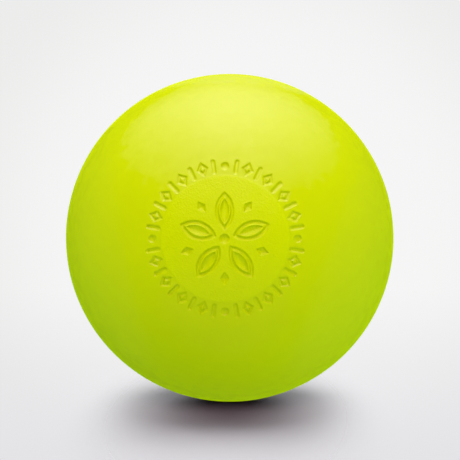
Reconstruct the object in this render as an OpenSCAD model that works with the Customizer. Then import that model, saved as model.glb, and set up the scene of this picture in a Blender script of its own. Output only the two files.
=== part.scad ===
// Lacrosse ball: a filled rubber core under a two-piece moulded elastomer cover.
// Millimetres. The origin is the ball's centre, +Z is up, and the marked face looks along -Y.
// The two cover halves meet in the plane y = 0, the parting plane of their mould.

/* [Ball] */
// Outside diameter over the plain surface
ball_d = 63.5; // [62.7:0.1:64.7]
// Wall thickness of the cover over the core
cover_wall = 6; // [3:0.5:10]

/* [Flash line] */
// Width of the trimmed flash line along the joint of the cover halves, on each half
flash_w = 0.2; // [0.1:0.05:0.5]
// Height of the flash line above the plain surface
flash_h = 0.06; // [0.02:0.02:0.2]

/* [Marked face] */
// Radius of the stippled disc inside the ring of marks
disc_r = 10.6; // [9.5:0.05:10.8]
// Height of the stippled disc above the plain surface
disc_h = 0.05; // [0.02:0.01:0.15]
// Depth of every recess below the plain surface
recess_depth = 0.4; // [0.2:0.05:0.8]

/* [Ring of marks] */
// Radius from the ball's pole axis to the middle of the marks
ring_r = 12.1; // [12.1:0.1:16]
// Length of a mark, along the radius
mark_l = 2.4; // [1.8:0.1:2.6]
// Width of a bar mark
bar_w = 0.6; // [0.3:0.05:0.8]
// Width of a lozenge mark
lozenge_w = 1.9; // [1.4:0.05:2]
// Width of the recessed outline of a lozenge mark
lozenge_line = 0.45; // [0.25:0.05:0.5]
// Diameter of the round dot between two sectors of marks
dot_d = 1.2; // [0.6:0.1:1.6]
// Number of sectors, each with one dot before it
sectors = 4; // [2:1:4]
// Number of marks in a sector, an odd number so that it starts and ends with a bar
sector_marks = 9; // [5:2:9]

/* [Rosette] */
// Number of petals
petals = 5; // [3:1:6]
// Length of a petal from tip to tip
petal_l = 6.2; // [4:0.1:7]
// Width of a petal at its middle
petal_w = 3; // [2.2:0.1:3.4]
// Radius from the pole axis to the middle of a petal
petal_r = 4.6; // [4.2:0.1:5.4]
// Width of the recessed outline of a petal
petal_line = 0.5; // [0.3:0.05:0.6]
// Width of the plain rib between a petal's outline and its recessed heart
petal_rib = 0.35; // [0.2:0.05:0.4]
// Diameter of the dot at the pole
eye_d = 1.5; // [0.8:0.1:1.8]
// Radius from the pole axis to the small lozenge between two petals
gem_r = 6.5; // [5.5:0.1:7]
// Length of the small lozenge, along the radius
gem_l = 2; // [1.2:0.1:2.4]
// Width of the small lozenge
gem_w = 1.3; // [0.8:0.1:1.6]

/* [Hidden] */
$fn = 96;
ball_r = ball_d / 2;
core_r = ball_r - cover_wall;
// Radius half way through the cover, where the flash line and the disc are rooted
root_r = (core_r + ball_r) / 2;
// How far a cutting or trimming shape runs past the surface that it cuts
overrun = 1;
// A full turn holds each sector's marks and its dot at equal steps
mark_step = 360 / (sectors * (sector_marks + 1));

// The first quarter of a ring between two radii
module quarter_ring(inner_r, outer_r) {
    intersection() {
        difference() {
            circle(r = outer_r);
            circle(r = inner_r);
        }
        square(outer_r + overrun);
    }
}

// Half of the cover in section, to be turned about its pole axis: the wall and its flash line
module half_profile() {
    quarter_ring(core_r, ball_r);
    translate([root_r, 0])
        square([ball_r + flash_h - root_r, flash_w]);
}

// The stippled disc in section: it stands just proud of the ball inside the ring of marks
module disc_profile() {
    intersection() {
        quarter_ring(root_r, ball_r + disc_h);
        square([disc_r, ball_r + overrun]);
    }
}

// A leaf between two equal arcs, its tips on the Y axis. inset moves both arcs inwards.
module leaf(length, width, inset = 0) {
    arc_r = (length * length + width * width) / (4 * width);
    arc_x = arc_r - width / 2;
    intersection() {
        translate([arc_x, 0])
            circle(r = arc_r - inset);
        translate([-arc_x, 0])
            circle(r = arc_r - inset);
    }
}

// A filled lozenge, its long diagonal on the Y axis
module lozenge(length, width) {
    polygon([[0, length / 2], [width / 2, 0], [0, -length / 2], [-width / 2, 0]]);
}

// A lozenge drawn as a line of even width inside its own outline
module open_lozenge(length, width, line) {
    // An even line shortens both diagonals in the same ratio
    hole_share = 1 - 2 * line * norm([length, width]) / (length * width);
    difference() {
        lozenge(length, width);
        lozenge(length * hole_share, width * hole_share);
    }
}

// A bar with round ends, along the Y axis
module bar(length, width) {
    end_y = (length - width) / 2;
    square([width, 2 * end_y], center = true);
    translate([0, end_y])
        circle(d = width);
    translate([0, -end_y])
        circle(d = width);
}

// One mark of the ring: bars and lozenges take turns
module ring_mark(number) {
    if (number % 2 == 1)
        bar(mark_l, bar_w);
    else
        open_lozenge(mark_l, lozenge_w, lozenge_line);
}

// The ring of marks, its first dot at the top
module mark_ring() {
    for (s = [0 : sectors - 1])
        rotate(s * 360 / sectors) {
            translate([0, ring_r])
                circle(d = dot_d);
            for (m = [1 : sector_marks])
                rotate(m * mark_step)
                    translate([0, ring_r])
                        ring_mark(m);
        }
}

// A petal: a recessed outline, a plain rib and a recessed heart
module petal() {
    difference() {
        leaf(petal_l, petal_w);
        leaf(petal_l, petal_w, petal_line);
    }
    leaf(petal_l, petal_w, petal_line + petal_rib);
}

// The flower at the pole, a small lozenge between each two petals
module rosette() {
    circle(d = eye_d);
    for (p = [0 : petals - 1])
        rotate(p * 360 / petals) {
            translate([0, petal_r])
                petal();
            rotate(180 / petals)
                translate([0, gem_r])
                    lozenge(gem_l, gem_w);
        }
}

// Straight-sided pockets along the mould's pull, their floors level below the ball's surface
module recesses() {
    difference() {
        linear_extrude(height = ball_r + disc_h + overrun) {
            mark_ring();
            rosette();
        }
        sphere(r = ball_r - recess_depth);
    }
}

// Filled rubber ball that the cover is moulded round
module core() {
    color("darkgray")
        sphere(r = core_r);
}

// The half of the cover with the marked face
module cover_front() {
    color([0.80, 0.88, 0.02])
        rotate([90, 0, 0])
            difference() {
                rotate_extrude() {
                    half_profile();
                    disc_profile();
                }
                recesses();
            }
}

// The plain half of the cover
module cover_back() {
    color([0.80, 0.88, 0.02])
        rotate([-90, 0, 0])
            rotate_extrude()
                half_profile();
}

core();
cover_front();
cover_back();
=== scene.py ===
"""Dresses the lacrosse ball: lime elastomer cover halves with their recessed marks, in a pale studio.

Everything is in metres and in the CAD's frame: the origin is the ball's centre, +Z is up, and the
marked face looks along -Y.
"""

import math

import bmesh
import bpy
import numpy as np
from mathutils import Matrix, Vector, geometry, noise


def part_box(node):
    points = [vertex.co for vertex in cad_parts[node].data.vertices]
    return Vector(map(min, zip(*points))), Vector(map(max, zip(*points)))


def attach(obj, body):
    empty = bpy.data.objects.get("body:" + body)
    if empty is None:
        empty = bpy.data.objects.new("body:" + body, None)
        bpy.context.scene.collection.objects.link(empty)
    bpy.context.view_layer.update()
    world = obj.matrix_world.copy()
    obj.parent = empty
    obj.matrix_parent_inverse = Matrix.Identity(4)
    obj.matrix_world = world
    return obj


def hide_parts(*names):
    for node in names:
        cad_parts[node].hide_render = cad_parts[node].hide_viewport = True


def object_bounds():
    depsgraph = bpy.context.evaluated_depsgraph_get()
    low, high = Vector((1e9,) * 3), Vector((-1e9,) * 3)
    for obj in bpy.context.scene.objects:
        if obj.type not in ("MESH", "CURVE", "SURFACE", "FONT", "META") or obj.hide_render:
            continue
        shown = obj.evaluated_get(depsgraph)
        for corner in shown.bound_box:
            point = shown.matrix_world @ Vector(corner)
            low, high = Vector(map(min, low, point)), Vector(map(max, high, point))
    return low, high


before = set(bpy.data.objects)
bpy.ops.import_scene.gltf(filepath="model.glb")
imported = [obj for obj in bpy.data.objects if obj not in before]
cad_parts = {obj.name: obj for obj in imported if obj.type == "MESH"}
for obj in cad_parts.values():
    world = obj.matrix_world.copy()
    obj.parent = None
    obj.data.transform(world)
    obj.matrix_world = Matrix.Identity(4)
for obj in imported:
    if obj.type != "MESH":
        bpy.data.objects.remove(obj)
cad_low, cad_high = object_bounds()

MM = 0.001

# The ball's own sizes, from the frame: the plain back pole and the core give the two radii
ball_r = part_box("cover_back")[1].y
core_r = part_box("core")[1].y

# The marked face, in the sizes that the solids have
disc_r = 10.6 * MM
disc_h = 0.05 * MM
recess_depth = 0.4 * MM
ring_r = 12.1 * MM
mark_l = 2.4 * MM
bar_w = 0.6 * MM
lozenge_w = 1.9 * MM
lozenge_line = 0.45 * MM
dot_d = 1.2 * MM
sectors = 4
sector_marks = 9
petals = 5
petal_l = 6.2 * MM
petal_w = 3.0 * MM
petal_r = 4.6 * MM
petal_line = 0.5 * MM
petal_rib = 0.35 * MM
eye_d = 1.5 * MM
gem_r = 6.5 * MM
gem_l = 2.0 * MM
gem_w = 1.3 * MM

# The flash line on one half. It is a hair lower than the solids' 0.06 mm, to stay inside their facets.
# Its rounded flank starts at flank_at and is flank_w wide, both in shares of flash_w.
flash_w = 0.2 * MM
flash_h = 0.05 * MM
flank_at = 0.7
flank_w = 0.6

# Soft edges of a recess, seen from above: its wall, the rounding of its floor, and the share of its
# depth that the wall takes. The solids have sharp edges there.
wall_w = 0.3 * MM
floor_w = 0.6 * MM
wall_share = 0.5
# The bead raised beside each edge: its height, its distance from the edge and its half width
lip_h = 0.022 * MM
lip_at = 0.2 * MM
lip_w = 0.09 * MM
# Width of the soft step at the edge of the stippled disc
disc_edge_w = 1.5 * wall_w
# The marked face is this much lower, so that its beads are about level with the plain skin, and it
# joins that skin over blend_w, at marked_r
face_drop = 0.02 * MM
marked_r = 14.6 * MM
blend_w = 0.8 * MM

# A slow ripple of the skin, always inwards, so that the ball keeps its size
ripple_h = 0.03 * MM
ripple_length = 7.0 * MM
ripple_contrast = 1.4
# Grain of the stippled disc, moved inwards by half its height
grain_h = 0.008 * MM
grain_length = 0.42 * MM
grain_bias = -0.5
# How far the noise moves along each axis from one seed to the next
seed_shift = (7.3, 3.1, 5.7)

# Spacing of the mesh's points: along the edges of marks, on the disc, round the marks and elsewhere
edge_step = 0.14 * MM
grain_step = 0.2 * MM
mark_step = 0.4 * MM
plain_step = 0.8 * MM
# Rows of points beside the edges of recesses and of the disc, in shares of wall_w, and beside the
# joint, in shares of flash_w
wall_rows = (-0.66, -0.4, -0.13, 0.13, 0.4, 0.75)
disc_rows = (-0.6, -0.2, 0.2, 0.6)
joint_rows = (0, 0.4, 0.7, 0.85, 1.0, 1.15, 1.35, 2.0, 3.2)
# Points in a row at the joint, and rows of points down the bowl that fits the core
rim_count = 320
bowl_rows = 14
# A row beside an outline is found in this many directions for each of its sides, by this many
# halvings, and then gets at least this many points
side_directions = 400
halvings = 40
least_points = 4
# Lengths that count as nothing: beside the pole axis, between points at the rim, and between points
# of the plan, which is triangulated in millimetres
tiny = 1e-9
rim_tiny = 1e-7
plan_tiny = 1e-6
# Height of an even triangle whose sides are 1 long
triangle_h = math.sqrt(0.75)

# The bake map is 1 wide. The outside is a round island of this share of its width, and the bowl and
# the joint face are small round islands in two of its corners.
outside_share = 0.98
corner_island_r = 0.07
bowl_corner = 0.075
joint_corner = 0.925

# The cover's colour, the least share of it that shows, and the shares that clouds, specks, the disc and
# recesses add. On the disc that share is painted light, which offsets the shade of its stipple. In a recess
# it is painted light that stands for the light that bounces about in it.
lime_colour = (0.66, 0.84, 0.0, 1)
darkest_tone = 0.96
cloud_length = 11 * MM
cloud_tone = 0.06
speck_length = 1.1 * MM
speck_tone = 0.02
# The disc's share below is painted light: it makes the stippled disc paler to offset the shade of its
# stipple
disc_painted_light = 0.03
recess_tone = 0.07
# The cover's roughness, and what clouds, the disc and the flash line add to it
skin_rough = 0.09
cloud_rough = 0.04
disc_rough = 0.03
flash_rough = 0.2
# The cover's specular level, what the disc adds to it, and where it starts and ends its fade on the
# way from facing the viewer, 0, to edge on, 1: dull rubber is no mirror at its outline
skin_gloss = 0.5
disc_gloss = -0.25
gloss_fade = (0.48, 0.94)
gloss_fade_power = 2.0
# Swells of the skin and the stipple of the disc, as bump, and the small tilted cells of the orange
# peel. A cell's softness is how smoothly it meets the next.
swell_length = 2.8 * MM
swell_h = 0.06 * MM
peel_length = 1.5 * MM
peel_tilt = 0.05
peel_softness = 0.15
stipple_length = 0.28 * MM
stipple_h = 0.045 * MM
stipple_softness = 0.5

# The core's filled rubber: dark and pale flecks that stand out a little
core_dark = (0.30, 0.29, 0.27, 1)
core_pale = (0.54, 0.53, 0.49, 1)
core_rough = 0.8
fleck_length = 0.8 * MM
fleck_h = 0.02 * MM

# The floor is a round sheet that fades into the backdrop between two distances from the ball. They are
# measured after its X and Y are scaled by floor_lane, so it fades sooner to the sides than to the
# front, because the photo's shadow is narrow.
floor_colour = (0.80, 0.785, 0.82, 1)
floor_r = 0.5
floor_sides = 96
floor_fade = (0.015, 0.07)
floor_lane = (2.2, 0.7, 0.0)

# The backdrop, its paler middle and its foot, where it runs forward as the table. Each starts and is
# full at these parts of a ray's direction: along Y for the first two, and along Z for the foot. The
# room is what other rays than the camera's see elsewhere.
backdrop_colour = (0.84, 0.84, 0.835, 1)
backdrop_fade = (0.95, 0.98)
middle_colour = (0.92, 0.915, 0.915, 1)
middle_fade = (0.950, 0.988)
table_colour = (0.77, 0.765, 0.79, 1)
table_fade = (-0.06, -0.24)
room_colour = (0.03, 0.03, 0.03, 1)

# Tints of the lamps, fitted to tones of the photographed ball and shadow. The lime gives no blue
# back, so the blue of key_tint shows only in the gloss.
key_tint = (0.78, 0.66, 1.0)
strip_tint = (1.0, 1.0, 1.0)
top_tint = (0.92, 0.72, 0.66)
back_tint = (0.86, 1.0, 0.6)
low_tint = (0.85, 1.0, 0.70)
right_tint = (0.81, 1.0, 0.75)
left_tint = (0.72, 1.0, 0.70)
table_tint = (0.97, 1.0, 0.985)
shade_tint = (1.0, 0.72, 0.78)
# How two lamps are graded: a distance from the middle, 0.5 being the edge, and the share of the
# radiance there. They are dimmer towards the edge, as real softboxes are.
softbox_profile = (
    (0.0, 0.9), (0.055, 1.0), (0.15, 0.66), (0.26, 0.4), (0.33, 0.28), (0.41, 0.16), (0.5, 0.10),
)
strip_profile = ((0.0, 1.0), (0.35, 0.8), (0.5, 0.3))

# The camera, at the photograph's viewing angle, in degrees: azimuth 0 is in front and 90 at the right.
# Its lens and its aim frame the ball as the photo does.
camera_azimuth = 1.55
camera_elevation = 0.45
camera_distance = 6 * ball_r
camera_aim = Vector((0.05 * MM, 0, 1.48 * MM))
camera_clip = (0.01, 10)
sensor_mm = 36.0
lens_mm = 75.9


# Outlines of the marks: each gives the distance of points to its edge, negative inside

def circle(radius):
    def distance(x, y):
        return np.hypot(x, y) - radius
    return distance


def bar(length, width):
    end = (length - width) / 2

    def distance(x, y):
        return np.hypot(x, np.maximum(np.abs(y) - end, 0)) - width / 2
    return distance


def lozenge(length, width):
    side = np.array([-width / 2, length / 2])

    def distance(x, y):
        from_tip = np.stack([np.abs(x) - width / 2, np.abs(y)], axis=-1)
        along = np.clip(from_tip @ side / (side @ side), 0, 1)
        gap = from_tip - along[..., None] * side
        outside = from_tip[..., 0] * side[1] - from_tip[..., 1] * side[0] > 0
        return np.where(outside, 1, -1) * np.hypot(gap[..., 0], gap[..., 1])
    return distance


def leaf(length, width, inset=0.0):
    arc_r = (length ** 2 + width ** 2) / (4 * width)
    arc_x = arc_r - width / 2
    radius = arc_r - inset
    tip_y = math.sqrt(radius ** 2 - arc_x ** 2)

    def distance(x, y):
        reach = np.hypot(np.abs(x) + arc_x, y)
        foot_x = (np.abs(x) + arc_x) / reach * radius - arc_x
        to_tip = np.hypot(x, np.abs(y) - tip_y)
        return np.where(foot_x >= 0, reach - radius, to_tip)
    return distance


class Recess:
    """A recessed shape inside one outline and, if it has a second one, outside that."""

    def __init__(self, outer, corners, centre_r=0.0, turn=0.0, inner=None):
        self.outer = outer
        self.inner = inner
        self.corners = corners
        self.centre_r = centre_r
        self.turn = turn

    def local(self, x, z):
        """From places on the marked face to the outlines' own."""
        c, s = math.cos(self.turn), math.sin(self.turn)
        return x * c + z * s, z * c - x * s - self.centre_r

    def world(self, u, v):
        """From the outlines' own places to those on the marked face."""
        c, s = math.cos(self.turn), math.sin(self.turn)
        return u * c - (v + self.centre_r) * s, u * s + (v + self.centre_r) * c

    def distance(self, x, z):
        u, v = self.local(x, z)
        found = self.outer(u, v)
        if self.inner is not None:
            found = np.maximum(found, -self.inner(u, v))
        return found

    def loops(self, offsets):
        """Closed rows of points beside each outline, one at each offset from it."""
        outlines = [(self.outer, 1)]
        if self.inner is not None:
            outlines.append((self.inner, -1))
        for outline, sign in outlines:
            for offset in offsets:
                u, v = level_loop(outline, sign * offset, self.corners)
                yield np.stack(self.world(u, v), axis=-1)


def level_loop(outline, offset, corners):
    """Points at an even step along the line that lies at offset from a convex outline."""
    span = 2 * math.pi / corners
    rows = []
    for corner in range(corners):
        angle = math.pi / 2 + span * (corner + np.linspace(0, 1, side_directions))
        # No outline is as far from its middle as a petal is long
        near, far = np.zeros_like(angle), np.full_like(angle, petal_l)
        for _ in range(halvings):
            middle = (near + far) / 2
            inside = outline(middle * np.cos(angle), middle * np.sin(angle)) < offset
            near, far = np.where(inside, middle, near), np.where(inside, far, middle)
        x, y = near * np.cos(angle), near * np.sin(angle)
        run = np.concatenate([[0], np.cumsum(np.hypot(np.diff(x), np.diff(y)))])
        stops = np.linspace(0, run[-1], max(least_points, round(run[-1] / edge_step)) + 1)[:-1]
        rows.append(np.stack([np.interp(stops, run, x), np.interp(stops, run, y)], axis=-1))
    return np.concatenate(rows).T


def make_recesses():
    """Every recess of the marked face: the dot at the pole, the ring of marks and the rosette."""
    found = [Recess(circle(eye_d / 2), corners=1)]
    # Both diagonals of the hole in an open lozenge, as a share of the lozenge's own
    hole_share = 1 - 2 * lozenge_line * math.hypot(mark_l, lozenge_w) / (mark_l * lozenge_w)
    step = 2 * math.pi / (sectors * (sector_marks + 1))
    for sector in range(sectors):
        start = sector * (sector_marks + 1)
        found.append(Recess(circle(dot_d / 2), corners=1, centre_r=ring_r, turn=start * step))
        for number in range(1, sector_marks + 1):
            turn = (start + number) * step
            if number % 2 == 1:
                mark = Recess(bar(mark_l, bar_w), corners=1, centre_r=ring_r, turn=turn)
            else:
                hole = lozenge(mark_l * hole_share, lozenge_w * hole_share)
                mark = Recess(lozenge(mark_l, lozenge_w), corners=4, centre_r=ring_r, turn=turn, inner=hole)
            found.append(mark)
    for petal in range(petals):
        turn = petal * 2 * math.pi / petals
        rim = leaf(petal_l, petal_w)
        rib = leaf(petal_l, petal_w, petal_line)
        heart = leaf(petal_l, petal_w, petal_line + petal_rib)
        found.append(Recess(rim, corners=2, centre_r=petal_r, turn=turn, inner=rib))
        found.append(Recess(heart, corners=2, centre_r=petal_r, turn=turn))
        gem_turn = turn + math.pi / petals
        found.append(Recess(lozenge(gem_l, gem_w), corners=4, centre_r=gem_r, turn=gem_turn))
    return found


def field(recesses, flat):
    """Distance to the nearest recess's edge, negative inside a recess."""
    found = np.full(len(flat), ball_r)
    for recess in recesses:
        found = np.minimum(found, recess.distance(flat[:, 0], flat[:, 1]))
    return found


# The plan of a half: a flat disc that keeps areas, with the pole in its middle and the rim as its edge

def to_plan(flat):
    """From places seen along the pole axis to places on the plan."""
    r = np.hypot(flat[:, 0], flat[:, 1])
    spread = 2 * ball_r * np.sin(np.arcsin(np.clip(r / ball_r, 0, 1)) / 2)
    return flat * (spread / np.maximum(r, tiny))[:, None]


def from_plan(plan):
    """Unit directions from the ball's centre, the pole being +Y of a half that isn't turned yet."""
    rho = np.hypot(plan[:, 0], plan[:, 1])
    # At the rim half the tilt is 45 degrees, whose sine is the root of a half
    tilt = 2 * np.arcsin(np.clip(rho / (2 * ball_r), 0, math.sqrt(0.5)))
    scale = np.sin(tilt) / np.maximum(rho, tiny)
    return np.stack([plan[:, 0] * scale, np.cos(tilt), plan[:, 1] * scale], axis=-1)


def hex_points(step, low, high):
    """Points of a triangular grid whose distance from the middle is between low and high."""
    rows = int(high / (step * triangle_h)) + 1
    columns = int(high / step) + 1
    i, j = np.meshgrid(np.arange(-columns, columns + 1), np.arange(-rows, rows + 1))
    x = (i + 0.5 * (j % 2)) * step
    y = j * step * triangle_h
    r = np.hypot(x, y)
    keep = (r >= low) & (r < high)
    return np.stack([x[keep], y[keep]], axis=-1)


def ring_points(radius, count):
    angle = np.arange(count) * 2 * math.pi / count
    return np.stack([radius * np.cos(angle), radius * np.sin(angle)], axis=-1)


def plan_of_half(recesses):
    """Triangles over the plan, with rows of points along every edge of the moulding."""
    points = []
    edges = []

    def add_loop(loop):
        first = sum(len(p) for p in points)
        points.append(loop)
        order = np.arange(first, first + len(loop))
        edges.extend(zip(order.tolist(), np.roll(order, -1).tolist()))

    joint_depths = np.array(joint_rows) * flash_w
    joint_radii = 2 * ball_r * np.sin(np.arccos(joint_depths / ball_r) / 2)
    for radius in joint_radii:
        add_loop(ring_points(radius, rim_count))
    plain_from = 0
    if recesses:
        for recess in recesses:
            for loop in recess.loops(np.array(wall_rows) * wall_w):
                add_loop(to_plan(loop))
        disc_count = round(2 * math.pi * disc_r / grain_step)
        for offset in np.array(disc_rows) * wall_w:
            add_loop(to_plan(ring_points(disc_r + offset, disc_count)))
        # These grids keep a third of a step away from the rows beside the edges
        for step, low, high in (
            (grain_step, 0, disc_r - wall_w),
            (mark_step, disc_r + wall_w + mark_step / 3, marked_r),
        ):
            flat = hex_points(step, low, high)
            keep = np.abs(field(recesses, flat)) > wall_rows[-1] * wall_w + step / 3
            points.append(to_plan(flat[keep]))
        plain_from = marked_r + plain_step / 2
    points.append(hex_points(plain_step, plain_from, joint_radii[-1] - plain_step / 2))
    in_mm = [Vector(p / MM) for p in np.concatenate(points)]
    made = geometry.delaunay_2d_cdt(in_mm, edges, [], 0, plan_tiny, False)
    return np.array([v[:] for v in made[0]]) * MM, np.array(made[2])


# The skin's surface

def smooth_step(value):
    t = np.clip(value, 0, 1)
    return t * t * (3 - 2 * t)


def noise_at(points, length, seed):
    """Smooth noise from about -1 to 1 whose lumps are about length across."""
    shift = Vector([seed * part for part in seed_shift])
    return np.array([noise.noise(Vector(p) / length + shift) for p in points])


def plain_height(unit):
    """Height of the plain skin over the ball's radius, and how much each point is flash line."""
    ripple = 0.5 + 0.5 * np.clip(noise_at(unit * ball_r, ripple_length, 1) * ripple_contrast, -1, 1)
    height = -ripple_h * ripple
    from_joint = np.abs(unit[:, 1]) * ball_r
    flash = 1 - smooth_step((from_joint / flash_w - flank_at) / flank_w)
    return height * (1 - flash) + flash * flash_h, flash


def mould_marks(unit, co, height, pole_y, recesses):
    """Moves the points of the marked face along the mould's pull, and says what each belongs to."""
    flat = unit[:, [0, 2]] * ball_r
    flat_r = np.hypot(flat[:, 0], flat[:, 1])
    gap = field(recesses, flat)
    recess = smooth_step(0.5 - gap / wall_w)
    disc = smooth_step(0.5 - (flat_r - disc_r) / disc_edge_w)
    lip = lip_h * np.exp(-((gap - lip_at) / lip_w) ** 2)
    grain = grain_h * (noise_at(unit * ball_r, grain_length, 2) + grain_bias)
    top = disc * (disc_h + grain) + lip - face_drop
    # Wide recesses reach their full depth, and narrow strokes are shallower, with round floors
    rounding = smooth_step(-gap / floor_w)
    depth = recess_depth * (wall_share * recess + (1 - wall_share) * rounding)
    mark = top * (1 - recess) - depth
    r = np.hypot(co[:, 0], co[:, 2])
    marked_y = np.sqrt(np.maximum((ball_r + height + mark) ** 2 - r ** 2, 0))
    share = 1 - smooth_step((flat_r - (marked_r - blend_w)) / blend_w)
    co[:, 1] = pole_y * (marked_y * share + np.abs(co[:, 1]) * (1 - share))
    return recess, disc


def make_half(name, pole_y, recesses):
    """One closed half of the cover, its pole at pole_y = -1 (front) or +1 (back)."""
    plan, faces = plan_of_half(recesses)
    unit = from_plan(plan)
    unit[:, 1] *= pole_y
    height, flash = plain_height(unit)
    co = unit * (ball_r + height)[:, None]
    recess = np.zeros(len(plan))
    disc = np.zeros(len(plan))
    if recesses:
        recess, disc = mould_marks(unit, co, height, pole_y, recesses)

    mesh = bpy.data.meshes.new(name)
    bm = bmesh.new()
    verts = [bm.verts.new(p) for p in co]
    uv_layer = bm.loops.layers.uv.new("OFBake")
    for face in faces:
        bm.faces.new([verts[i] for i in face])
    # The plan's radius is the root of 2 times the ball's
    plan_uv = plan / (2 * math.sqrt(2) * ball_r) * outside_share + 0.5
    bm.verts.index_update()
    for face in bm.faces:
        face.smooth = True
        for corner in face.loops:
            corner[uv_layer].uv = plan_uv[corner.vert.index]
    close_half(bm, uv_layer, plan, pole_y)
    bmesh.ops.recalc_face_normals(bm, faces=bm.faces)
    bm.to_mesh(mesh)
    bm.free()
    hidden = np.zeros(len(mesh.vertices) - len(plan))
    for label, values in (("recess", recess), ("disc", disc), ("flash", flash)):
        layer = mesh.attributes.new(label, "FLOAT", "POINT")
        layer.data.foreach_set("value", np.concatenate([values, hidden]).astype(np.float32))
    return new_object(name, mesh)


def close_half(bm, uv_layer, plan, pole_y):
    """Adds the flat joint face and the inner bowl that fits the core."""
    rho = np.hypot(plan[:, 0], plan[:, 1])
    angle = np.arctan2(plan[:, 1], plan[:, 0])
    on_rim = np.where(rho > rho.max() - rim_tiny)[0]
    order = on_rim[np.argsort(angle[on_rim])]
    bm.verts.ensure_lookup_table()
    previous = [bm.verts[i] for i in order]
    sharpen(bm, previous)
    for row in range(bowl_rows):
        in_bowl = row > 0
        tilt = math.pi / 2 * (1 - row / bowl_rows)
        radius = core_r * math.sin(tilt)
        y = pole_y * core_r * math.cos(tilt)
        current = [bm.verts.new((radius * math.cos(a), y, radius * math.sin(a))) for a in angle[order]]
        for k in range(len(order)):
            after = (k + 1) % len(order)
            face = bm.faces.new((previous[k], previous[after], current[after], current[k]))
            face.smooth = in_bowl
            corner_uv(face, uv_layer, in_bowl)
        if not in_bowl:
            sharpen(bm, current)
        previous = current
    pole = bm.verts.new((0, pole_y * core_r, 0))
    for k in range(len(order)):
        face = bm.faces.new((previous[k], previous[(k + 1) % len(order)], pole))
        face.smooth = True
        corner_uv(face, uv_layer, True)


def sharpen(bm, ring):
    """Makes the edges of a closed row of points sharp."""
    for a, b in zip(ring, ring[1:] + ring[:1]):
        bm.edges.get((a, b)).smooth = False


def corner_uv(face, uv_layer, in_bowl):
    """Places a hidden face in a corner of the bake map that the outside's round island leaves free."""
    centre = bowl_corner if in_bowl else joint_corner
    for corner in face.loops:
        x, y, z = corner.vert.co
        if in_bowl:
            tilt = math.acos(min(1.0, abs(y) / core_r))
            r = math.hypot(x, z)
            spread = math.sqrt(2) * math.sin(tilt / 2)
            u, v = (x / r * spread, z / r * spread) if r > tiny else (0.0, 0.0)
        else:
            u, v = x / (ball_r + flash_h), z / (ball_r + flash_h)
        corner[uv_layer].uv = (centre + corner_island_r * u, centre + corner_island_r * v)


def new_object(name, data):
    obj = bpy.data.objects.new(name, data)
    bpy.context.scene.collection.objects.link(obj)
    return obj


# Materials

def new_material(name):
    material = bpy.data.materials.new(name)
    material.use_nodes = True
    tree = material.node_tree
    return material, tree, tree.nodes["Principled BSDF"]


def wire(tree, node, **sockets):
    """Gives sockets their values or links: From_Min is the socket From Min, and _2 the one of number 2."""
    for key, value in sockets.items():
        socket = node.inputs[int(key[1:])] if key[0] == "_" else node.inputs[key.replace("_", " ")]
        if isinstance(value, bpy.types.NodeSocket):
            tree.links.new(value, socket)
        else:
            socket.default_value = value


def add(tree, kind, settings=None, **sockets):
    """A node of that kind, with plain settings and with values or links for its sockets."""
    made = tree.nodes.new(kind)
    for key, value in (settings or {}).items():
        setattr(made, key, value)
    wire(tree, made, **sockets)
    return made


def math_node(tree, operation, *values):
    sockets = {f"_{k}": value for k, value in enumerate(values)}
    return add(tree, "ShaderNodeMath", {"operation": operation}, **sockets).outputs[0]


def fade_node(tree, value, fade, kind="SMOOTHSTEP", ends=(0.0, 1.0)):
    """Goes from the first to the second of ends while value goes through fade."""
    made = add(tree, "ShaderNodeMapRange", {"interpolation_type": kind}, Value=value,
               From_Min=fade[0], From_Max=fade[1], To_Min=ends[0], To_Max=ends[1])
    return made.outputs[0]


def mixed_colours(tree, share, first, second, blend="MIX"):
    settings = {"data_type": "RGBA", "blend_type": blend}
    return add(tree, "ShaderNodeMix", settings, _0=share, _6=first, _7=second).outputs[2]


def rubber_noise(tree, coordinates, length, detail):
    """Noise from 0 to 1 whose lumps are about length across."""
    made = add(tree, "ShaderNodeTexNoise", None, Vector=coordinates, Scale=1 / length, Detail=detail)
    return made.outputs["Fac"]


def small_cells(tree, coordinates, length, softness):
    """Round cells side by side, about length across."""
    return add(tree, "ShaderNodeTexVoronoi", {"feature": "SMOOTH_F1"}, Vector=coordinates,
               Scale=1 / length, Smoothness=softness)


def tilted_cells(tree, coordinates, length, softness, tilt):
    """The surface's normal, leaning a little another way in each small cell."""
    cells = small_cells(tree, coordinates, length, softness)
    lean = add(tree, "ShaderNodeVectorMath", {"operation": "MULTIPLY_ADD"}, _0=cells.outputs["Color"],
               _1=(tilt, tilt, tilt), _2=(-tilt / 2, -tilt / 2, -tilt / 2))
    plain = add(tree, "ShaderNodeNewGeometry").outputs["Normal"]
    both = add(tree, "ShaderNodeVectorMath", {"operation": "ADD"}, _0=plain, _1=lean.outputs[0])
    return add(tree, "ShaderNodeVectorMath", {"operation": "NORMALIZE"}, _0=both.outputs[0]).outputs[0]


def bump_node(tree, distance, height, **base):
    """A normal with bump of that height added, to the Normal that base gives, if any."""
    made = add(tree, "ShaderNodeBump", None, Strength=1.0, Distance=distance, Height=height, **base)
    return made.outputs[0]


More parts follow.
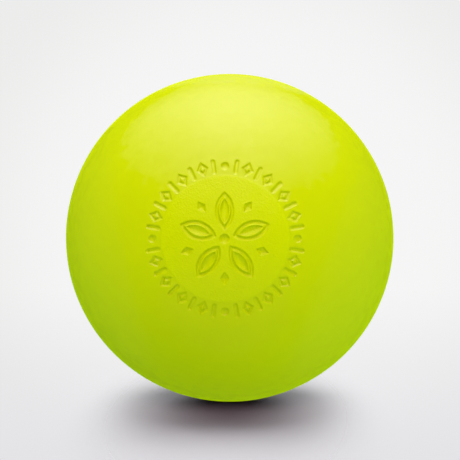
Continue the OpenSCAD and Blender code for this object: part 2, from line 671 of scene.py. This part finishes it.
def cover_material():
    material, tree, shader = new_material("cover_lime")
    place = add(tree, "ShaderNodeTexCoord").outputs["Object"]
    recess = add(tree, "ShaderNodeAttribute", {"attribute_name": "recess"}).outputs["Fac"]
    disc = add(tree, "ShaderNodeAttribute", {"attribute_name": "disc"}).outputs["Fac"]
    flash = add(tree, "ShaderNodeAttribute", {"attribute_name": "flash"}).outputs["Fac"]

    cloud = rubber_noise(tree, place, cloud_length, detail=2.0)
    speck = rubber_noise(tree, place, speck_length, detail=3.0)
    specks = math_node(tree, "MULTIPLY", speck, speck_tone)
    mottle = math_node(tree, "MULTIPLY_ADD", cloud, cloud_tone, specks)
    # Painted light: recesses are made paler for the light that bounces in them, and the disc is made paler
    # to offset the shade of its stipple
    recesses = math_node(tree, "MULTIPLY", recess, recess_tone)
    painted_light = math_node(tree, "MULTIPLY_ADD", disc, disc_painted_light, recesses)
    shade = math_node(tree, "ADD", math_node(tree, "ADD", mottle, darkest_tone), painted_light)
    grey = add(tree, "ShaderNodeCombineColor", None, Red=shade, Green=shade, Blue=shade).outputs[0]
    colour = mixed_colours(tree, 1.0, lime_colour, grey, "MULTIPLY")

    rough = math_node(tree, "MULTIPLY_ADD", flash, flash_rough, skin_rough)
    rough = math_node(tree, "MULTIPLY_ADD", disc, disc_rough, rough)
    rough = math_node(tree, "MULTIPLY_ADD", cloud, cloud_rough, rough)

    peel = tilted_cells(tree, place, peel_length, peel_softness, peel_tilt)
    swell = rubber_noise(tree, place, swell_length, detail=1.0)
    skin = bump_node(tree, swell_h, swell, Normal=peel)
    # Each cell of the stipple is a shallow dimple
    cells = small_cells(tree, place, stipple_length, stipple_softness)
    dimple = math_node(tree, "POWER", cells.outputs["Distance"], 2.0)
    stipple = math_node(tree, "MULTIPLY", dimple, disc)
    normal = bump_node(tree, stipple_h, stipple, Normal=skin)

    facing = add(tree, "ShaderNodeLayerWeight", None, Blend=0.5).outputs["Facing"]
    kept = fade_node(tree, facing, gloss_fade, ends=(1.0, 0.0))
    kept = math_node(tree, "POWER", kept, gloss_fade_power)
    gloss = math_node(tree, "MULTIPLY_ADD", disc, disc_gloss, skin_gloss)
    gloss = math_node(tree, "MULTIPLY", kept, gloss)
    wire(tree, shader, Base_Color=colour, Roughness=rough, Normal=normal, Specular_IOR_Level=gloss)
    return material


def core_material():
    material, tree, shader = new_material("core_rubber")
    place = add(tree, "ShaderNodeTexCoord").outputs["Object"]
    fleck = rubber_noise(tree, place, fleck_length, detail=4.0)
    ramp = add(tree, "ShaderNodeValToRGB", None, Fac=fleck)
    ramp.color_ramp.elements[0].color = core_dark
    ramp.color_ramp.elements[1].color = core_pale
    wire(tree, shader, Base_Color=ramp.outputs[0], Roughness=core_rough,
         Normal=bump_node(tree, fleck_h, fleck))
    return material


# Stage, lights and camera

def toward(azimuth, elevation):
    """The direction from the ball to a place at that azimuth and elevation, in degrees."""
    a, e = math.radians(azimuth), math.radians(elevation)
    return Vector((math.sin(a) * math.cos(e), -math.cos(a) * math.cos(e), math.sin(e)))


def make_floor(z):
    """A pale round floor at height z that takes the shadow, fades outwards and is open from below."""
    mesh = bpy.data.meshes.new("floor")
    bm = bmesh.new()
    bmesh.ops.create_circle(bm, cap_ends=True, radius=floor_r, segments=floor_sides)
    bm.to_mesh(mesh)
    bm.free()
    obj = new_object("floor", mesh)
    obj.location.z = z
    material, tree, shader = new_material("floor_pale")
    wire(tree, shader, Base_Color=floor_colour, Roughness=1.0, Specular_IOR_Level=0.0)
    place = add(tree, "ShaderNodeTexCoord").outputs["Object"]
    lane = add(tree, "ShaderNodeVectorMath", {"operation": "MULTIPLY"}, _0=place, _1=floor_lane).outputs[0]
    away = add(tree, "ShaderNodeVectorMath", {"operation": "LENGTH"}, _0=lane).outputs["Value"]
    faded = fade_node(tree, away, floor_fade, "SMOOTHERSTEP")
    # A camera under the floor looks through it
    camera_ray = add(tree, "ShaderNodeLightPath").outputs["Is Camera Ray"]
    behind = add(tree, "ShaderNodeNewGeometry").outputs["Backfacing"]
    open_below = math_node(tree, "MULTIPLY", behind, camera_ray)
    share = math_node(tree, "MAXIMUM", faded, open_below)
    clear = add(tree, "ShaderNodeBsdfTransparent").outputs[0]
    mix = add(tree, "ShaderNodeMixShader", None, _0=share, _1=shader.outputs[0], _2=clear)
    wire(tree, tree.nodes["Material Output"], Surface=mix.outputs[0])
    obj.data.materials.append(material)
    # The ball's gloss shows the dark room below it, as in the photo, and no bright floor
    obj.visible_glossy = False
    return obj


def make_world():
    """A pale backdrop, which the camera sees all round.

    Other rays see it only where it stands behind the ball, and a dim even room elsewhere, because
    the photographed ball has no white rim. Nothing here is metal or glass.
    """
    world = bpy.data.worlds.new("studio")
    bpy.context.scene.world = world
    world.use_nodes = True
    tree = world.node_tree
    direction = add(tree, "ShaderNodeTexCoord").outputs["Generated"]
    parts = add(tree, "ShaderNodeSeparateXYZ", None, Vector=direction).outputs
    middle = fade_node(tree, parts["Y"], middle_fade)
    pale = mixed_colours(tree, middle, backdrop_colour, middle_colour)
    # It greys a little downwards
    foot = fade_node(tree, parts["Z"], table_fade, "LINEAR")
    sweep = mixed_colours(tree, foot, pale, table_colour)
    behind = fade_node(tree, parts["Y"], backdrop_fade)
    camera_ray = add(tree, "ShaderNodeLightPath").outputs["Is Camera Ray"]
    seen = math_node(tree, "MAXIMUM", behind, camera_ray)
    wire(tree, tree.nodes["Background"], Color=mixed_colours(tree, seen, room_colour, sweep), Strength=1.0)


def make_lamp(name, azimuth, elevation, distance, radii, radiance, tint, lit,
              gloss=True, past_floor=False, profile=None):
    """An oval softbox aimed at the ball's centre.

    It lights only the objects in lit, as with flags that keep a lamp off the rest of the set. gloss
    lets it show in the ball's gloss, and past_floor lets its light through the floor.
    """
    data = bpy.data.lights.new(name, "AREA")
    data.shape = "ELLIPSE"
    data.size = 2 * radii[0]
    data.size_y = 2 * radii[1]
    # A lamp's power is its radiance times pi times its area
    data.energy = radiance * math.pi * math.pi * radii[0] * radii[1]
    data.color = tint
    if profile:
        grade_lamp(data, profile)
    obj = new_object(name, data)
    direction = toward(azimuth, elevation)
    obj.location = direction * distance
    obj.rotation_mode = "QUATERNION"
    obj.rotation_quaternion = direction.to_track_quat("Z", "Y")
    obj.visible_camera = False
    obj.visible_glossy = gloss
    receivers = bpy.data.collections.new(f"lit_by_{name}")
    for target in lit:
        receivers.objects.link(target)
    obj.light_linking.receiver_collection = receivers
    if past_floor:
        obj.light_linking.blocker_collection = receivers


def grade_lamp(data, profile):
    """Dims a lamp from its middle outwards by its profile."""
    data.use_nodes = True
    tree = data.node_tree
    # Parametric runs from 0 to 1 across the lamp each way
    place = add(tree, "ShaderNodeNewGeometry").outputs["Parametric"]
    middle = add(tree, "ShaderNodeVectorMath", {"operation": "DISTANCE"}, _0=place, _1=(0.5, 0.5, 0.0))
    ramp = add(tree, "ShaderNodeValToRGB", None, Fac=middle.outputs["Value"])
    elements = ramp.color_ramp.elements
    # A new ramp has two stops
    for stop, _ in profile[2:]:
        elements.new(stop)
    for element, (stop, share) in zip(elements, profile):
        element.position = stop
        element.color = (share, share, share, 1)
    wire(tree, tree.nodes["Emission"], Strength=ramp.outputs[0])


def make_camera():
    data = bpy.data.cameras.new("camera")
    data.sensor_width = sensor_mm
    data.lens = lens_mm
    data.clip_start, data.clip_end = camera_clip
    obj = new_object("camera", data)
    obj.location = toward(camera_azimuth, camera_elevation) * camera_distance
    obj.rotation_mode = "QUATERNION"
    obj.rotation_quaternion = (camera_aim - obj.location).to_track_quat("-Z", "Y")
    bpy.context.scene.camera = obj


bpy.context.scene.view_settings.view_transform = "Standard"
# Nothing bounces between ball and floor, because the photo's shadow is neutral. low_fill stands for the
# floor's own light on the ball.
bpy.context.scene.cycles.diffuse_bounces = 0
make_camera()
make_world()
floor = make_floor(cad_low.z)

lime = cover_material()
ball = []
for name, pole_y, recesses in (
    ("cover_front_skin", -1, make_recesses()),
    ("cover_back_skin", 1, []),
):
    half = make_half(name, pole_y, recesses)
    half.data.materials.append(lime)
    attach(half, "root")
    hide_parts(name.removesuffix("_skin"))
    ball.append(half)
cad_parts["core"].data.materials[0] = core_material()

# The softbox over the ball makes its wide highlight, which fades downwards by the profile
make_lamp("softbox", azimuth=10, elevation=84, distance=0.60, radii=(0.85, 0.88), radiance=2.28,
          tint=key_tint, lit=ball, profile=softbox_profile)
# This strip's reflection carries the highlight on to the top of the outline
make_lamp("back_strip", azimuth=180, elevation=30, distance=0.90, radii=(0.22, 0.29), radiance=0.55,
          tint=strip_tint, lit=ball, profile=strip_profile)
# The fills give the ball its even tone, and don't show in its gloss
make_lamp("top_fill", azimuth=0, elevation=40, distance=0.90, radii=(0.63, 0.63), radiance=2.06,
          tint=top_tint, lit=ball, gloss=False)
make_lamp("back_fill", azimuth=180, elevation=66, distance=0.90, radii=(0.55, 0.55), radiance=0.95,
          tint=back_tint, lit=ball, gloss=False)
make_lamp("low_fill", azimuth=0, elevation=-44, distance=0.90, radii=(0.755, 0.755), radiance=0.93,
          tint=low_tint, lit=ball, gloss=False, past_floor=True)
make_lamp("right_fill", azimuth=115, elevation=-18, distance=0.90, radii=(0.82, 0.82), radiance=1.58,
          tint=right_tint, lit=ball, gloss=False, past_floor=True)
make_lamp("left_fill", azimuth=-115, elevation=-10, distance=0.90, radii=(0.755, 0.755), radiance=1.37,
          tint=left_tint, lit=ball, gloss=False, past_floor=True)
# The floor's own lamps give the shadow its depth, its width and its tone
make_lamp("table_over", azimuth=180, elevation=74, distance=0.90, radii=(0.56, 0.56), radiance=2.05,
          tint=table_tint, lit=[floor])
make_lamp("table_left", azimuth=-125, elevation=24, distance=1.0, radii=(0.25, 0.25), radiance=7.1,
          tint=table_tint, lit=[floor])
make_lamp("table_right", azimuth=125, elevation=24, distance=1.0, radii=(0.25, 0.25), radiance=7.1,
          tint=table_tint, lit=[floor])
make_lamp("table_front", azimuth=0, elevation=25, distance=0.90, radii=(0.42, 0.42), radiance=1.3,
          tint=shade_tint, lit=[floor])
